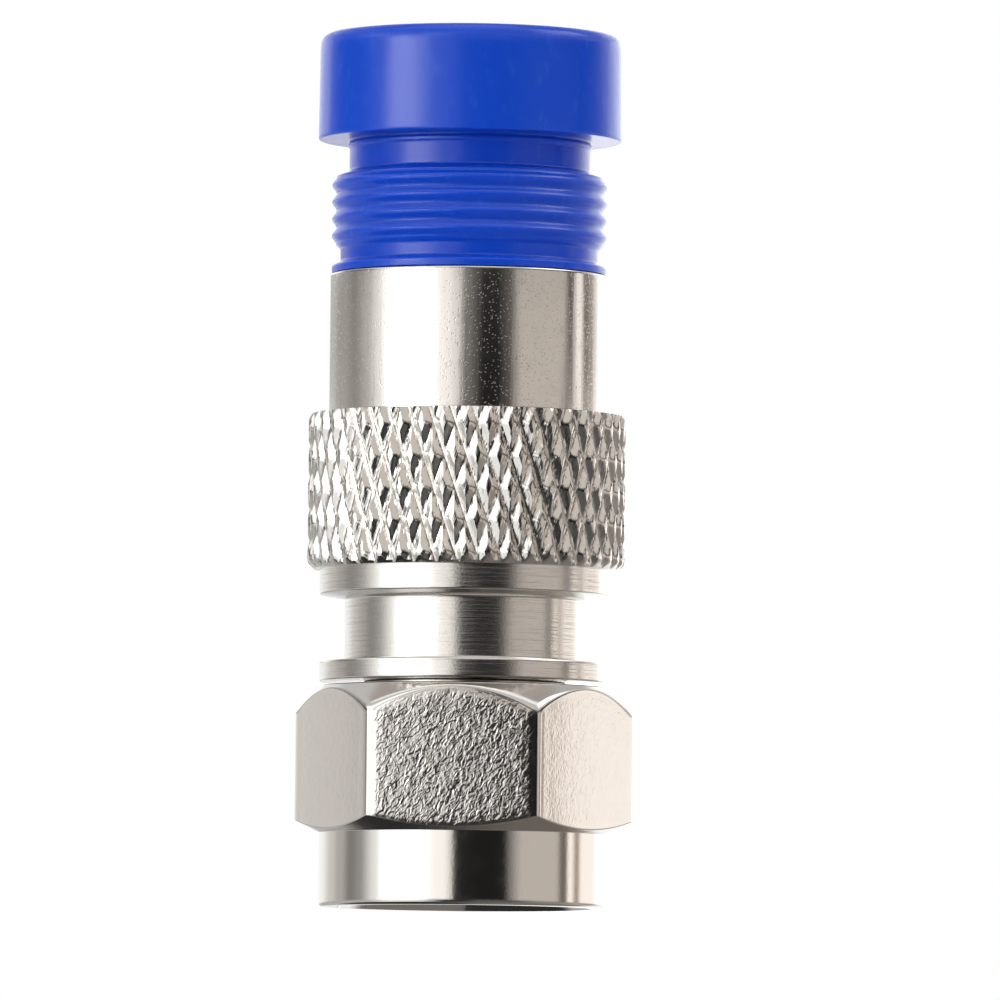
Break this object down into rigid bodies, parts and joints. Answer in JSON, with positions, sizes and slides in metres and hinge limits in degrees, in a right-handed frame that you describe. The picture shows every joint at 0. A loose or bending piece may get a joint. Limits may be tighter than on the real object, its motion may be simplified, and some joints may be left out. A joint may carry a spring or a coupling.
{
  "type": "f connector",
  "caption": "Compression F connector for coaxial cable, with a swivelling hex nut, a knurled body and a plastic sleeve that presses in to grip the cable.",
  "frame": {"origin": "centre of the nut's open end, on the connector's axis", "axes": "+Z along the connector's axis, from the nut's open end to the cable entry; +X through a corner of the hexagon"},
  "size_m": [0.0126, 0.0118, 0.0325],
  "materials": {
    "nickel_nut": "polished",
    "nickel_post": "polished",
    "seal_rubber": "matte",
    "nickel_body": "polished",
    "blue_plastic": "satin"
  },
  "bodies": {
    "body": {"connector_body": "nickel_body", "inner_post": "nickel_post", "nut_seal": "seal_rubber"},
    "nut": {"coupling_nut": "nickel_nut"},
    "sleeve": {"compression_sleeve": "blue_plastic"}
  },
  "joints": [
    {"name": "nut_swivel", "type": "hinge", "parent": "body", "child": "nut", "pos_m": [0, 0, 0.0078], "axis": [0, 0, 1], "continuous": true},
    {"name": "sleeve_press", "type": "slide", "parent": "body", "child": "sleeve", "axis": [0, 0, -1], "range_m": [0, 0.005]}
  ]
}
